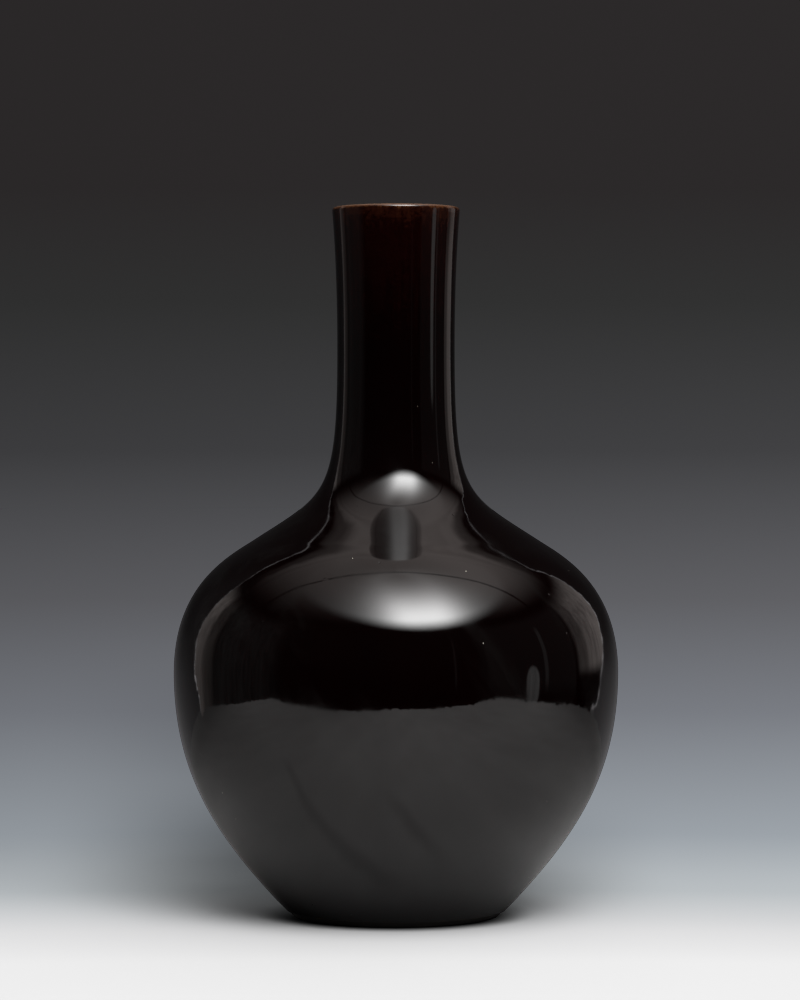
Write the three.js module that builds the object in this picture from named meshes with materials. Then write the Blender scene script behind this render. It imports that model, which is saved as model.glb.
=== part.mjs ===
// A tall-necked porcelain bottle vase with a round body and a mirror-black glaze, in millimetres, +Z up.
// The origin is the centre of the resting face of the foot ring, and the vase is round about the Z axis.
// The porcelain is thrown in three sections, which are luted together with slip. A dark glaze covers it
// outside, a clear one inside and under the base, and the edge of the foot ring is bare.
import * as THREE from "three";

// Outline of the glazed vase. A slope is the outline's angle from the vertical, in degrees, and it is
// positive where the vase widens downwards.
const height = 420;
const lipRadius = 37.9;
const lipSlope = -4.7;
const waistRadius = 34.9;
const waistHeight = 336.3;
const shoulderRadius = 84.5;
const shoulderHeight = 222.4;
const shoulderSlope = 57;
const bellyRadius = 131.8;
const bellyHeight = 144.2;
const footRadius = 62.4;
const footSlope = -44;

// How far each arc of the outline holds its slope at its upper and lower end, as shares of the arc's height
const neckHoldShares = [0.417, 0.183];
const rootHoldShares = [0.776, 0.449];
const shoulderHoldShares = [0.206, 0.674];
const flankHoldShares = [0.423, 0.437];

// Porcelain wall
const lipWall = 2.8;
const neckWall = 5;
const shoulderWall = 6.5;
const bellyWall = 6;
const footWall = 10;
const floorThickness = 9;
const floorFillet = 14;

// Foot ring, turned from the lower section
const footBareHeight = 3;
const footBevel = 0.8;
const footRestWidth = 6.5;
const footRecess = 7.5;
const footDraft = 1;
const recessFillet = 2;

// Glaze: thin on the lip that it drained from, wiped thin at the foot, and a bond gap clear of the clay
const lipGlaze = 0.4;
const wallGlaze = 0.8;
const footGlaze = 0.6;
const clearGlaze = 0.6;
const baseGlazeHeight = 3;
const bondGap = 0.3;

// Luting seams: a layer of slip between two sections, and the low ridge that is left inside where the slip
// squeezed out. The neck is luted on a little above the slope of the shoulder, and the two halves of the body
// where it is widest.
const neckSeamRise = 31.6;
const neckSeamHeight = shoulderHeight + neckSeamRise;
const bellySeamHeight = bellyHeight;
const seamThickness = 1.2;
const ridgeHeight = 1.8;
const ridgeReach = 9;
const ridgeFeather = 0.3;

// Straight steps in each curve, and flats round the vase. The inside of the wall follows every second point
// of the outline.
const neckSteps = 2;
const rootSteps = 8;
const shoulderSteps = 8;
const flankSteps = 6;
const insideStride = 2;
const lipSteps = 2;
const filletSteps = 2;
const flats = 40;

// Colours and surfaces
const porcelain = { color: 0xe8e2d6, roughness: 0.75, metalness: 0 };
const slip = { color: 0xded6c6, roughness: 0.85, metalness: 0 };
const mirrorBlack = { color: 0x0b0706, roughness: 0.06, metalness: 0 };
const clear = { color: 0xdfe3dc, roughness: 0.12, metalness: 0 };

// The lip starts to round over at a level, and each layer of it rises from there to its own crown
const clayRise = lipWall / 2;
const glazeSeatRise = clayRise + bondGap;
const glazeRise = glazeSeatRise + lipGlaze;
const lipLevel = height - glazeRise;

// The stations that the outline passes through, each with the thickness of the glaze and of the wall
const lip = { radius: lipRadius, height: lipLevel, slope: lipSlope, glaze: lipGlaze, wall: lipWall };
const waist = { radius: waistRadius, height: waistHeight, slope: 0, glaze: wallGlaze, wall: neckWall };
const shoulder = {
  radius: shoulderRadius,
  height: shoulderHeight,
  slope: shoulderSlope,
  glaze: wallGlaze,
  wall: shoulderWall,
};
const belly = { radius: bellyRadius, height: bellyHeight, slope: 0, glaze: wallGlaze, wall: bellyWall };
const foot = { radius: footRadius, height: 0, slope: footSlope, glaze: footGlaze, wall: footWall };

// The direction that the outline takes downwards at a slope
function downhill(slope) {
  const angle = THREE.MathUtils.degToRad(slope);
  return new THREE.Vector2(Math.sin(angle), -Math.cos(angle));
}

// One arc of the outline, as points that carry the thickness of the glaze and of the wall
function sampleArc(from, to, holdShares, steps) {
  const drop = from.height - to.height;
  const start = new THREE.Vector2(from.radius, from.height);
  const end = new THREE.Vector2(to.radius, to.height);
  const afterStart = start.clone().addScaledVector(downhill(from.slope), holdShares[0] * drop);
  const beforeEnd = end.clone().addScaledVector(downhill(to.slope), -holdShares[1] * drop);
  const arc = new THREE.CubicBezierCurve(start, afterStart, beforeEnd, end);
  return arc.getPoints(steps).map((point, i) => ({
    point,
    glaze: THREE.MathUtils.lerp(from.glaze, to.glaze, i / steps),
    wall: THREE.MathUtils.lerp(from.wall, to.wall, i / steps),
  }));
}

// The direction into the wall of one straight step of a line that runs down the vase
function inwards(from, to) {
  const along = to.clone().sub(from).normalize();
  return new THREE.Vector2(along.y, -along.x);
}

// A line that runs down the vase, moved inwards with each step parallel to where it was. The depth is one
// number, or one for each point.
function inset(line, depth) {
  return line.map((point, i) => {
    const upper = Math.max(i, 1);
    const lower = Math.min(i, line.length - 2);
    const before = inwards(line[upper - 1], line[upper]);
    const after = inwards(line[lower], line[lower + 1]);
    const mitre = before.clone().add(after).normalize();
    const reach = (Array.isArray(depth) ? depth[i] : depth) / mitre.dot(after);
    return point.clone().addScaledVector(mitre, reach);
  });
}

// The point of a line at a height. Past an end, the line's last step is carried on.
function pointAt(line, atHeight) {
  const found = line.findIndex((point) => point.y <= atHeight);
  const next = found < 0 ? line.length - 1 : Math.max(found, 1);
  const share = (line[next - 1].y - atHeight) / (line[next - 1].y - line[next].y);
  return new THREE.Vector2(THREE.MathUtils.lerp(line[next - 1].x, line[next].x, share), atHeight);
}

// The stretch of a line between two heights, with a point at each
function between(line, top, bottom) {
  const inner = line.filter((point) => point.y < top && point.y > bottom);
  return [pointAt(line, top), ...inner, pointAt(line, bottom)];
}

// The stretch of a line from its own start down to a height
function downTo(line, bottom) {
  return [...line.filter((point) => point.y > bottom), pointAt(line, bottom)];
}

// The outline of the glaze, and the same line moved in to the other face of the glaze and to the wall
const samples = [
  ...sampleArc(lip, waist, neckHoldShares, neckSteps),
  ...sampleArc(waist, shoulder, rootHoldShares, rootSteps).slice(1),
  ...sampleArc(shoulder, belly, shoulderHoldShares, shoulderSteps).slice(1),
  ...sampleArc(belly, foot, flankHoldShares, flankSteps).slice(1),
];
const glazeOutside = samples.map((sample) => sample.point);
const glazeInside = inset(glazeOutside, samples.map((sample) => sample.glaze));
const wallOutside = inset(glazeOutside, samples.map((sample) => sample.glaze + bondGap));
const insideSamples = samples.filter((sample, i) => i % insideStride === 0);
const wallInside = inset(
  insideSamples.map((sample) => sample.point),
  insideSamples.map((sample) => sample.glaze + bondGap + sample.wall),
);

// Inside of the clay: the wall, a fillet, and the floor out to the axis
const floorHeight = footRecess + floorThickness;
const floorCorner = pointAt(wallInside, floorHeight);
const floorArc = new THREE.QuadraticBezierCurve(
  pointAt(wallInside, floorHeight + floorFillet),
  floorCorner,
  new THREE.Vector2(floorCorner.x - floorFillet, floorHeight),
);
const clayInside = [
  ...between(wallInside, lipLevel, floorHeight + floorFillet),
  ...floorArc.getPoints(filletSteps).slice(1),
  new THREE.Vector2(0, floorHeight),
];

// Foot ring, from the outside inwards: the flank runs down to the resting face, which a bevel joins to the
// recess under the floor
const restOuterRadius = pointAt(wallOutside, 0).x;
const restInnerRadius = restOuterRadius - footRestWidth;
const recessMouth = new THREE.Vector2(restInnerRadius - footBevel, footBevel);
const recessCorner = new THREE.Vector2(recessMouth.x - footDraft, footRecess);
const recessArc = new THREE.QuadraticBezierCurve(
  new THREE.Vector2(recessCorner.x - recessFillet, footRecess),
  recessCorner,
  recessCorner.clone().lerp(recessMouth, recessFillet / footRecess),
);
const recessLine = [new THREE.Vector2(0, footRecess), ...recessArc.getPoints(filletSteps), recessMouth];

// The surface of the ridge inside a seam: its upper edge, its crest and its lower edge
function ridgeOver(seamHeight) {
  const edges = inset(clayInside, bondGap + ridgeFeather);
  const crests = inset(clayInside, bondGap + ridgeHeight);
  return [
    pointAt(edges, seamHeight + ridgeReach),
    pointAt(crests, seamHeight),
    pointAt(edges, seamHeight - ridgeReach),
  ];
}

// A line down the inside, led over a ridge
function overRidge(line, ridge) {
  const above = line.filter((point) => point.y > ridge[0].y);
  const below = line.filter((point) => point.y < ridge[2].y);
  return [...above, ...ridge, ...below];
}

// A line with its side of the rounded lip on top, from the crown down. The crown is over the middle of the
// clay.
const crownRadius = (pointAt(wallOutside, lipLevel).x + clayInside[0].x) / 2;
function withLip(line, rise) {
  const side = pointAt(line, lipLevel).x - crownRadius;
  const quarter = new THREE.EllipseCurve(crownRadius, lipLevel, side, rise, 0, Math.PI / 2);
  return [...quarter.getPoints(lipSteps).toReversed(), ...line.filter((point) => point.y < lipLevel)];
}

// A solid turned from a profile that goes up its outside and down its inside, and that starts and ends on
// the axis or closes on itself
function turned(name, profile, surface) {
  const geometry = new THREE.LatheGeometry(profile, flats);
  geometry.rotateX(Math.PI / 2);
  const mesh = new THREE.Mesh(geometry, new THREE.MeshStandardMaterial(surface));
  mesh.name = name;
  return mesh;
}

// A profile that closes on itself, from a line down its outside and a line down its inside
function closed(outside, inside) {
  return [...outside.toReversed(), ...inside, outside[outside.length - 1].clone()];
}

// The lower section, from the belly seam down, with the floor and the foot ring
function lowerBody() {
  const top = bellySeamHeight - seamThickness / 2;
  const profile = [
    ...recessLine,
    new THREE.Vector2(restInnerRadius, 0),
    ...between(wallOutside, top, 0).toReversed(),
    pointAt(clayInside, top),
    ...clayInside.filter((point) => point.y < top),
  ];
  return turned("lower_body", profile, porcelain);
}

// The shoulder section, between the two seams
function upperBody() {
  const top = neckSeamHeight - seamThickness / 2;
  const bottom = bellySeamHeight + seamThickness / 2;
  const profile = closed(between(wallOutside, top, bottom), between(clayInside, top, bottom));
  return turned("upper_body", profile, porcelain);
}

// The neck section, from its seam up over the rounded lip
function neck() {
  const bottom = neckSeamHeight + seamThickness / 2;
  const outside = downTo(withLip(wallOutside, clayRise), bottom);
  const inside = downTo(withLip(clayInside, clayRise), bottom);
  return turned("neck", closed(outside, inside.slice(1)), porcelain);
}

// The slip between two sections, with the ridge that it leaves on the inside
function seam(name, seamHeight) {
  const top = seamHeight + seamThickness / 2;
  const bottom = seamHeight - seamThickness / 2;
  const ridge = ridgeOver(seamHeight);
  const ridgeBack = inset(clayInside, bondGap);
  const inside = [
    pointAt(clayInside, top),
    ...between(ridgeBack, ridge[0].y, top).toReversed(),
    ...ridge,
    ...between(ridgeBack, bottom, ridge[2].y).toReversed(),
    pointAt(clayInside, bottom),
  ];
  return turned(name, closed([pointAt(wallOutside, top), pointAt(wallOutside, bottom)], inside), slip);
}

// The dark coat, from the crown of the lip down to the bare edge of the foot ring
function outerGlaze() {
  const outside = downTo(withLip(glazeOutside, glazeRise), footBareHeight);
  const inside = downTo(withLip(glazeInside, glazeSeatRise), footBareHeight);
  return turned("outer_glaze", closed(outside, inside), mirrorBlack);
}

// The clear coat inside, which meets the dark one on the crown of the lip and covers both ridges
function innerGlaze() {
  const neckRidged = overRidge(clayInside, ridgeOver(neckSeamHeight));
  const ridged = overRidge(neckRidged, ridgeOver(bellySeamHeight));
  const seated = withLip(inset(ridged, bondGap), glazeSeatRise);
  const bare = withLip(inset(ridged, bondGap + clearGlaze), glazeRise);
  return turned("inner_glaze", [...seated.toReversed(), ...bare], clear);
}

// The clear coat in the recess under the base, down to just above the resting edge
function baseGlaze() {
  const covered = [...recessLine.slice(0, -1), pointAt(recessLine.slice(-2), baseGlazeHeight)];
  const profile = [...inset(covered, bondGap + clearGlaze), ...inset(covered, bondGap).toReversed()];
  return turned("base_glaze", profile, clear);
}

const vase = new THREE.Group();
vase.add(lowerBody());
vase.add(upperBody());
vase.add(neck());
vase.add(seam("belly_seam", bellySeamHeight));
vase.add(seam("neck_seam", neckSeamHeight));
vase.add(outerGlaze());
vase.add(innerGlaze());
vase.add(baseGlaze());

export default vase;
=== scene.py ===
"""The looks of a mirror-black bottle vase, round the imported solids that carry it. Metres, +Z up.

Each solid of the vase is turned here again from the same outline, fine enough to mirror the studio, and
stands for the plain one. The two glazes, the bare clay and the slip each have a material of their own.
"""

import math

import bpy
import numpy as np
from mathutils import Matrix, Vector, noise


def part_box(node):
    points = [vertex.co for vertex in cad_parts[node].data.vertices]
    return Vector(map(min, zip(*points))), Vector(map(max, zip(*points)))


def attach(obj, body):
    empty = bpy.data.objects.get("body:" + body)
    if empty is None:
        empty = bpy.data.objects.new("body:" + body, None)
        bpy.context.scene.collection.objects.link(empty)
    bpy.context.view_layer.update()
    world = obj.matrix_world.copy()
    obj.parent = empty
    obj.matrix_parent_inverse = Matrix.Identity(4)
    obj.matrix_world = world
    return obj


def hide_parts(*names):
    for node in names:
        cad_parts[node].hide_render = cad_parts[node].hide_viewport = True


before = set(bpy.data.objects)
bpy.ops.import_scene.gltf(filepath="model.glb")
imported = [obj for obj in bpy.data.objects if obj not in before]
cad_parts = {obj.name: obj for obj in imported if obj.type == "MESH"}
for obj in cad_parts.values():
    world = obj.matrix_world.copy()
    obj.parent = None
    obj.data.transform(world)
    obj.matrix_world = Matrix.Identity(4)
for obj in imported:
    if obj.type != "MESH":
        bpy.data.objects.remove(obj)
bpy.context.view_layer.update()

MM = 0.001

# Outline of the glazed vase, as in its solids: each station's radius, height and slope from the vertical,
# with the thickness of the glaze and of the wall there
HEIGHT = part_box("outer_glaze")[1].z
LIP_WALL = 2.8 * MM
BOND_GAP = 0.3 * MM
CLAY_RISE = LIP_WALL / 2
SEAT_RISE = CLAY_RISE + BOND_GAP
LIP_GLAZE = 0.4 * MM
GLAZE_RISE = SEAT_RISE + LIP_GLAZE
LIP_LEVEL = HEIGHT - GLAZE_RISE
LIP = dict(radius=37.9 * MM, height=LIP_LEVEL, slope=-4.7, glaze=LIP_GLAZE, wall=LIP_WALL)
WAIST = dict(radius=34.9 * MM, height=336.3 * MM, slope=0, glaze=0.8 * MM, wall=5 * MM)
SHOULDER = dict(radius=84.5 * MM, height=222.4 * MM, slope=57, glaze=0.8 * MM, wall=6.5 * MM)
BELLY = dict(radius=131.8 * MM, height=144.2 * MM, slope=0, glaze=0.8 * MM, wall=6 * MM)
FOOT = dict(radius=62.4 * MM, height=0, slope=-44, glaze=0.6 * MM, wall=10 * MM)
HOLD_SHARES = [(0.417, 0.183), (0.776, 0.449), (0.206, 0.674), (0.423, 0.437)]
ARC_STEPS = [44, 64, 56, 72]

# Floor and foot ring
FLOOR_THICKNESS = 9 * MM
FLOOR_FILLET = 14 * MM
FOOT_BARE_HEIGHT = 3 * MM
FOOT_BEVEL = 0.8 * MM
FOOT_REST_WIDTH = 6.5 * MM
FOOT_RECESS = 7.5 * MM
FOOT_DRAFT = 1 * MM
RECESS_FILLET = 2 * MM
CLEAR_GLAZE = 0.6 * MM
BASE_GLAZE_HEIGHT = 3 * MM

# Luting seams
SEAM_THICKNESS = 1.2 * MM
NECK_SEAM_HEIGHT = 254 * MM
BELLY_SEAM_HEIGHT = BELLY["height"]
RIDGE_HEIGHT = 1.8 * MM
RIDGE_REACH = 9 * MM

# Fineness of the meshes
SEGMENTS = 192
HIDDEN_STRIDE = 4
LIP_STEPS = 12
FILLET_STEPS = 8
SHARP_EDGE = math.radians(38)
ON_AXIS = MM / 100

# The camera, from where the vase and the horizon lie in a picture of 800 by 1000
PICTURE_HEIGHT = 1000
FOCAL_PIXELS = 3547
HORIZON_ROW = 438.2
SENSOR = 36
CAMERA_DISTANCE = 2.108
CAMERA_HEIGHT = 0.283
CAMERA_ASIDE = 0.0024


# Outline of the vase: lines of (radius, height) points that run down it

def downhill(slope):
    """The direction of the outline downwards, at a slope from the vertical in degrees."""
    angle = math.radians(slope)
    return np.array([math.sin(angle), -math.cos(angle)])


def arc(upper, lower, hold_shares, steps):
    """One arc of the outline: its points, and the thickness of the glaze and of the wall at each."""
    drop = upper["height"] - lower["height"]
    start = np.array([upper["radius"], upper["height"]])
    end = np.array([lower["radius"], lower["height"]])
    after_start = start + downhill(upper["slope"]) * hold_shares[0] * drop
    before_end = end - downhill(lower["slope"]) * hold_shares[1] * drop
    share = np.linspace(0, 1, steps + 1)[:, None]
    rest = 1 - share
    points = rest**3 * start + 3 * rest**2 * share * after_start + 3 * rest * share**2 * before_end
    points = points + share**3 * end
    glaze = upper["glaze"] + (lower["glaze"] - upper["glaze"]) * share[:, 0]
    wall = upper["wall"] + (lower["wall"] - upper["wall"]) * share[:, 0]
    return points, glaze, wall


def outline():
    """The outside of the glaze, from the lip's level to the foot, with the thicknesses along it."""
    stations = [LIP, WAIST, SHOULDER, BELLY, FOOT]
    arcs = [arc(*ends, *rest) for *ends, rest in zip(stations, stations[1:], zip(HOLD_SHARES, ARC_STEPS))]
    kept = [arcs[0]] + [[part[1:] for part in one] for one in arcs[1:]]
    return [np.concatenate(parts) for parts in zip(*kept)]


def inset(line, depth):
    """A line moved into the wall by a depth, which is one number or one for each point."""
    along = np.gradient(line, axis=0)
    along /= np.linalg.norm(along, axis=1, keepdims=True)
    inwards = np.stack([along[:, 1], -along[:, 0]], axis=1)
    return line + inwards * np.reshape(depth, (-1, 1))


def point_at(line, height):
    """The point of a line at a height, with its last step carried on past its end."""
    below = np.flatnonzero(line[:, 1] <= height)
    i = max(below[0], 1) if len(below) else len(line) - 1
    share = (line[i - 1, 1] - height) / (line[i - 1, 1] - line[i, 1])
    return np.array([line[i - 1, 0] + share * (line[i, 0] - line[i - 1, 0]), height])


def between(line, top, bottom):
    """The stretch of a line between two heights."""
    inner = line[(line[:, 1] < top) & (line[:, 1] > bottom)]
    return np.vstack([point_at(line, top), inner, point_at(line, bottom)])


def down_to(line, bottom):
    """The stretch of a line from its start down to a height."""
    return np.vstack([line[line[:, 1] > bottom], point_at(line, bottom)])


def curve(start, corner, end, steps):
    """A rounded corner, as points."""
    share = np.linspace(0, 1, steps + 1)[:, None]
    return (1 - share) ** 2 * start + 2 * (1 - share) * share * corner + share**2 * end


glaze_outside, glaze_depth, wall_depth = outline()
glaze_inside = inset(glaze_outside, glaze_depth)
wall_outside = inset(glaze_outside, glaze_depth + BOND_GAP)
wall_inside = inset(glaze_outside, glaze_depth + BOND_GAP + wall_depth)

floor_height = FOOT_RECESS + FLOOR_THICKNESS
floor_corner = point_at(wall_inside, floor_height)
floor_edge = floor_corner - [FLOOR_FILLET, 0]
clay_inside = np.vstack([
    between(wall_inside, LIP_LEVEL, floor_height + FLOOR_FILLET),
    curve(point_at(wall_inside, floor_height + FLOOR_FILLET), floor_corner, floor_edge, FILLET_STEPS)[1:],
    np.linspace(floor_edge, (0, floor_height), FILLET_STEPS)[1:],
])

rest_outer = point_at(wall_outside, 0)[0]
rest_inner = rest_outer - FOOT_REST_WIDTH
recess_mouth = np.array([rest_inner - FOOT_BEVEL, FOOT_BEVEL])
recess_corner = np.array([recess_mouth[0] - FOOT_DRAFT, FOOT_RECESS])
recess_start = recess_corner - [RECESS_FILLET, 0]
recess_end = recess_corner + (recess_mouth - recess_corner) * RECESS_FILLET / FOOT_RECESS
recess_line = np.vstack([
    np.linspace((0, FOOT_RECESS), recess_start, FILLET_STEPS)[:-1],
    curve(recess_start, recess_corner, recess_end, FILLET_STEPS),
    recess_mouth,
])
crown_radius = (point_at(wall_outside, LIP_LEVEL)[0] + clay_inside[0, 0]) / 2


def with_lip(line, rise):
    """A line with its side of the rounded lip on top, from the crown down."""
    side = point_at(line, LIP_LEVEL)[0] - crown_radius
    angle = np.linspace(math.pi / 2, 0, LIP_STEPS + 1)
    quarter = np.stack([crown_radius + side * np.cos(angle), LIP_LEVEL + rise * np.sin(angle)], axis=1)
    return np.vstack([quarter, line[line[:, 1] < LIP_LEVEL]])


def ridged(line, depth):
    """The inside of the clay, covered to a depth and led over the ridge in each seam."""
    covered = inset(line, depth)
    for seam_height in (NECK_SEAM_HEIGHT, BELLY_SEAM_HEIGHT):
        away = np.abs(line[:, 1] - seam_height) / RIDGE_REACH
        swell = np.where(away < 1, (1 + np.cos(math.pi * np.minimum(away, 1))) / 2, 0)
        covered = inset(covered, swell * RIDGE_HEIGHT)
    return covered


# Meshes

def turned(name, profile, closes, shape=None):
    """A solid turned from a profile that closes on itself, or that starts and ends on the axis. shape moves
    the points of a ring."""
    angles = np.arange(SEGMENTS) * 2 * math.pi / SEGMENTS
    around = np.stack([np.cos(angles), np.sin(angles)], axis=1)
    points, rings = [], []
    for radius, height in profile:
        if radius < ON_AXIS:
            rings.append([len(points)] * SEGMENTS)
            points.append((0, 0, height))
            continue
        rings.append(list(range(len(points), len(points) + SEGMENTS)))
        ring = np.column_stack([around * radius, np.full(SEGMENTS, height)])
        points.extend(ring if shape is None else shape(ring))
    if closes:
        rings.append(rings[0])
    faces = []
    for lower, upper in zip(rings, rings[1:]):
        for i in range(SEGMENTS):
            j = (i + 1) % SEGMENTS
            corners = [lower[i], lower[j], upper[j], upper[i]]
            faces.append(list(dict.fromkeys(corners)))
    mesh = bpy.data.meshes.new(name)
    mesh.from_pydata([tuple(p) for p in points], [], faces)
    mesh.polygons.foreach_set("use_smooth", [True] * len(faces))
    mesh.set_sharp_from_angle(angle=SHARP_EDGE)
    mesh.validate()
    piece = bpy.data.objects.new(name, mesh)
    bpy.context.scene.collection.objects.link(piece)
    return piece


def closed(outside, inside):
    """A profile that closes on itself, up its outside and down its inside."""
    return np.vstack([outside[::-1], inside])


def thinned(line):
    """Every few points of a line that doesn't show, with both of its ends."""
    return np.vstack([line[:-1:HIDDEN_STRIDE], line[-1]])


# Shader fields: arithmetic on numbers that vary over a surface or over the sky

MIX_COLOUR_SOCKETS = (0, 6, 7)
MIX_COLOUR_RESULT = 2
COARSE = 0.6


class Field:
    """A number that varies over a surface. Sums and products of fields become math nodes."""

    def __init__(self, tree, socket):
        self.tree = tree
        self.socket = socket

    def math(self, operation, *others):
        node = self.tree.nodes.new("ShaderNodeMath")
        node.operation = operation
        for socket, value in zip(node.inputs, (self, *others)):
            feed(self.tree, value, socket)
        return Field(self.tree, node.outputs[0])

    def __add__(self, other):
        return self.math("ADD", other)

    __radd__ = __add__

    def __sub__(self, other):
        return self.math("SUBTRACT", other)

    def __rsub__(self, other):
        return self.math("MULTIPLY", -1).math("ADD", other)

    def __mul__(self, other):
        return self.math("MULTIPLY", other)

    __rmul__ = __mul__

    def __truediv__(self, other):
        return self.math("DIVIDE", other)

    def __pow__(self, other):
        return self.math("POWER", other)

    def rise(self, low, high):
        """0 below low and 1 above high, with a smooth step between. With low above high it falls."""
        node = self.tree.nodes.new("ShaderNodeMapRange")
        node.interpolation_type = "SMOOTHSTEP"
        feed(self.tree, self, node.inputs["Value"])
        feed(self.tree, low, node.inputs["From Min"])
        feed(self.tree, high, node.inputs["From Max"])
        return Field(self.tree, node.outputs["Result"])

    def inside(self, low, high, soft):
        """1 between two values and 0 outside them, with soft ends."""
        return self.rise(low - soft, low + soft) * self.rise(high + soft, high - soft)

    def centred(self):
        """Noise that runs from 0 to 1, moved to run from -0.5 to 0.5."""
        return self - 0.5


def feed(tree, value, socket):
    """Puts a field or a plain value into a socket."""
    if isinstance(value, Field):
        tree.links.new(value.socket, socket)
    else:
        socket.default_value = value


def graded(field, base, *steps):
    """A base value and steps, each an amount that comes in as the field goes from a start to an end."""
    return sum((field.rise(start, end) * amount for start, end, amount in steps), base)


def distance(across, along):
    """The length of a line from its two parts."""
    return (across * across + along * along).math("SQRT")


def split(tree, vector):
    """The three parts of a vector, as fields."""
    node = tree.nodes.new("ShaderNodeSeparateXYZ")
    tree.links.new(vector, node.inputs[0])
    return [Field(tree, output) for output in node.outputs]


def stretched(tree, vector, scale):
    """A vector with each part scaled, for a texture that is longer one way."""
    node = tree.nodes.new("ShaderNodeVectorMath")
    node.operation = "MULTIPLY"
    tree.links.new(vector, node.inputs[0])
    node.inputs[1].default_value = scale
    return node.outputs[0]


def slanting(tree, vector, slant, stretch):
    """A vector for a texture that is longer along a line that leans to the left in the XZ plane."""
    node = tree.nodes.new("ShaderNodeMapping")
    node.vector_type = "TEXTURE"
    tree.links.new(vector, node.inputs["Vector"])
    node.inputs["Rotation"].default_value = (0, -slant, 0)
    node.inputs["Scale"].default_value = (1, 1, stretch)
    return node.outputs["Vector"]


def grain(tree, vector, scale, detail=2, roughness=0.5):
    """Smooth noise from 0 to 1 along a vector."""
    node = tree.nodes.new("ShaderNodeTexNoise")
    tree.links.new(vector, node.inputs["Vector"])
    node.inputs["Scale"].default_value = scale
    node.inputs["Detail"].default_value = detail
    node.inputs["Roughness"].default_value = roughness
    return Field(tree, node.outputs["Fac"])


def coarse_grain(tree, vector, scale):
    """Noise from 0 to 1 with much fine detail in it."""
    return grain(tree, vector, scale, detail=4, roughness=COARSE)


def cells(tree, vector, scale):
    """The distance from the nearest of many scattered points."""
    node = tree.nodes.new("ShaderNodeTexVoronoi")
    tree.links.new(vector, node.inputs["Vector"])
    node.inputs["Scale"].default_value = scale
    return Field(tree, node.outputs["Distance"])


def spots(tree, vector, scale, edge, core):
    """Scattered round spots: 0 outside their edge, and 1 within their core."""
    return cells(tree, vector, scale).rise(edge, core)


def blend(tree, share, first, second):
    """A colour between two, each a socket or a plain colour."""
    node = tree.nodes.new("ShaderNodeMix")
    node.data_type = "RGBA"
    share_socket, first_socket, second_socket = (node.inputs[i] for i in MIX_COLOUR_SOCKETS)
    feed(tree, share, share_socket)
    for colour, socket in ((first, first_socket), (second, second_socket)):
        if isinstance(colour, bpy.types.NodeSocket):
            tree.links.new(colour, socket)
        else:
            socket.default_value = (*colour, 1)
    return node.outputs[MIX_COLOUR_RESULT]


def ramp(tree, value, stops):
    """A colour that changes with a value, through stops of value and colour. The value runs from 0 to 1."""
    node = tree.nodes.new("ShaderNodeValToRGB")
    elements = node.color_ramp.elements
    while len(elements) < len(stops):
        elements.new(0.5)
    for element, (position, colour) in zip(elements, stops):
        element.position = position
        element.color = (*colour, 1)
    feed(tree, value, node.inputs["Fac"])
    return node.outputs["Color"]


def new_material(name):
    """A material with its node tree, its shader, and the place on the surface in metres."""
    material = bpy.data.materials.new(name)
    material.use_nodes = True
    tree = material.node_tree
    shader = tree.nodes["Principled BSDF"]
    place = tree.nodes.new("ShaderNodeTexCoord").outputs["Object"]
    return material, tree, shader, place


def add_bump(tree, shader, height, depth):
    """Fine relief of a real depth in metres, from a field that runs from 0 to 1."""
    node = tree.nodes.new("ShaderNodeBump")
    node.inputs["Strength"].default_value = 1
    node.inputs["Distance"].default_value = depth
    feed(tree, height, node.inputs["Height"])
    tree.links.new(node.outputs["Normal"], shader.inputs["Normal"])


# Materials: colours, grains in features a metre, spots as features a metre with the reach where they start
# and where they are full, and the edges of tones in mm from the lip, the foot or the axis

BLACK = (0.0008, 0.0001, 0.00014)
BLACK_WARM = (0.0016, 0.0002, 0.0002)
BROWN_DEEP = (0.0046, 0.0006, 0.0005)
BROWN = (0.016, 0.0038, 0.0018)
FRINGE = (0.062, 0.022, 0.008)
CROWN = (0.12, 0.066, 0.042)
DUST = (0.006, 0.0057, 0.0054)
PALE_SPECK = (0.5, 0.47, 0.4)
FOOT_LINE = (0.075, 0.034, 0.014)

# Each tone of the dark glaze towards the lip: the mm below the lip where it starts and where it is full, and
# how many mm the runs, the patches and the blotches shift that
LIP_TONES = [
    (BROWN_DEEP, (85, 5), (80, 60, 60)),
    (BROWN, (13, 0), (14, 16, 30)),
    (FRINGE, (2.4, 0.9), (5, 6, 0)),
    (CROWN, (1.05, 0.4), (0, 0.6, 0)),
]
RUNS = ((1, 1, 0.05), 420)
PATCH_GRAIN = 130
BLOTCH_GRAIN = 430
BODY_MOTTLE = ((1, 1, 0.35), 38)
SKIN_GRAIN = 130
SMEAR_SLANT = math.radians(37)
SMEAR_STRETCH = 5
SMEAR_GRAIN = 44
DUST_SMEARS = (0.46, 0.72)
DUST_HEIGHT = (300, 200)
DUST_SHARE = 0.3
SPECK_FLATTEN = (1, 1, 0.8)
SPECKS = (52, 0.022, 0.011)
PINHOLES = (42, 0.035, 0.012)
HEALED_GRAIN = 17
HEALED_RING = (0.02, 0.034, 0.006)
EDGE_LINE = (4.1, 3.3)
EDGE_LINE_WAVER = 2.4
EDGE_LINE_GRAIN = 260
EDGE_DOTS = (480, 0.54, 0.6)
GLAZE_ROUGHNESS = (0.03, (0.3, 0.75, 0.07))
SPOT_ROUGHNESS = 0.3
SKIN_RELIEF = 0.012 * MM
PINHOLE_DEPTH = 6
SPECK_HEIGHT = 4
HEALED_HEIGHT = 1.3
GLAZE_IOR = 1.5

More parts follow.
